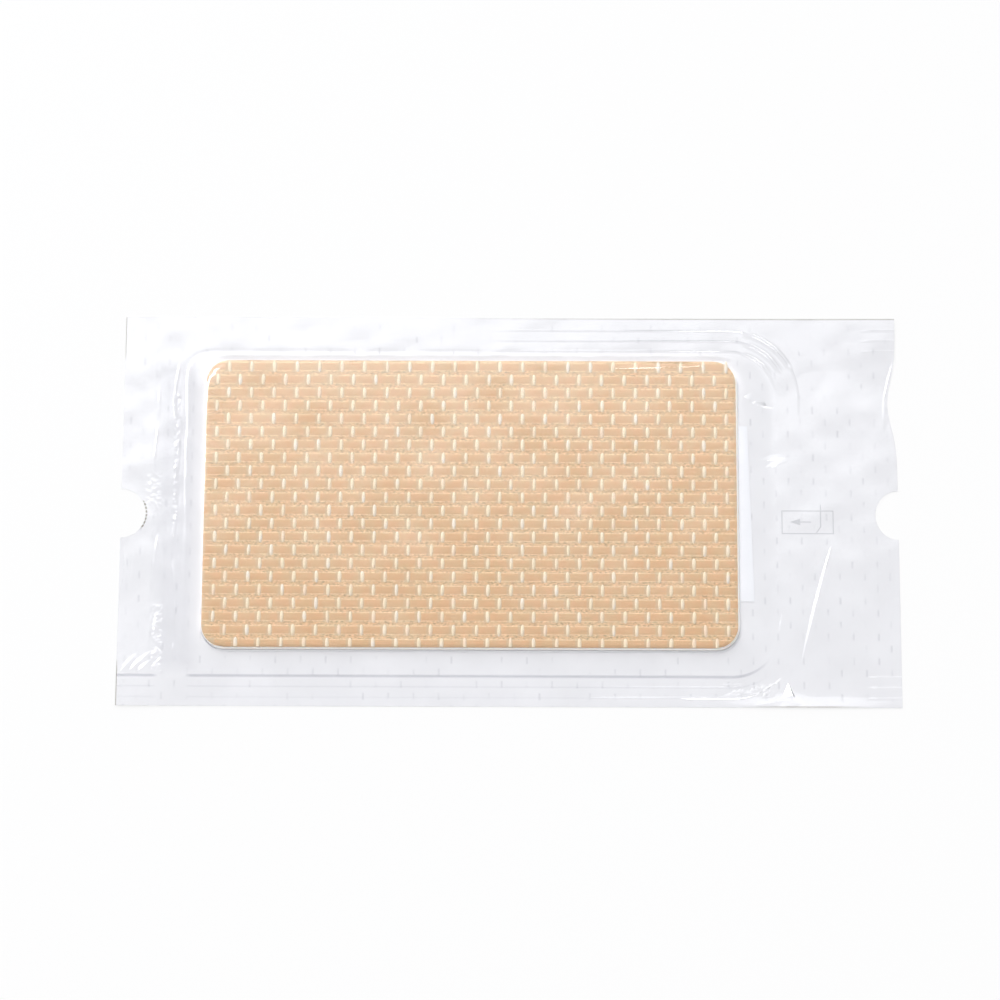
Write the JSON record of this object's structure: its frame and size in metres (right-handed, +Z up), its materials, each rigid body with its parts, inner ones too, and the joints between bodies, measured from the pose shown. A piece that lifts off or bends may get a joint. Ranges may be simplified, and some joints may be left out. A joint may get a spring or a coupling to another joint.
{
  "type": "silicone dressing in a peel pouch",
  "caption": "Flat rectangular silicone dressing with a tan woven backing, sealed in a clear film and white paper peel pouch with thumb notches.",
  "frame": {"origin": "middle of the pouch's underside, the face it lies on", "axes": "+X along the pouch towards the end that is peeled open, +Y across its width, +Z up out of the dressing's backing"},
  "size_m": [0.262, 0.134, 0.0029],
  "materials": {
    "paper_web": "smooth uncoated medical paper with faint grey printed dashes",
    "liner": "satin white plastic film",
    "silicone": "soft translucent silicone, slightly glossy",
    "woven_cloth": "tan flat tapes woven with cream stitches, matt",
    "clear_film": "clear glossy packaging film with sealing ribs and creases"
  },
  "bodies": {
    "root": {"pouch_paper": "paper_web", "release_liner": "liner", "silicone_layer": "silicone", "woven_backing": "woven_cloth", "pouch_film": "clear_film"}
  },
  "joints": []
}
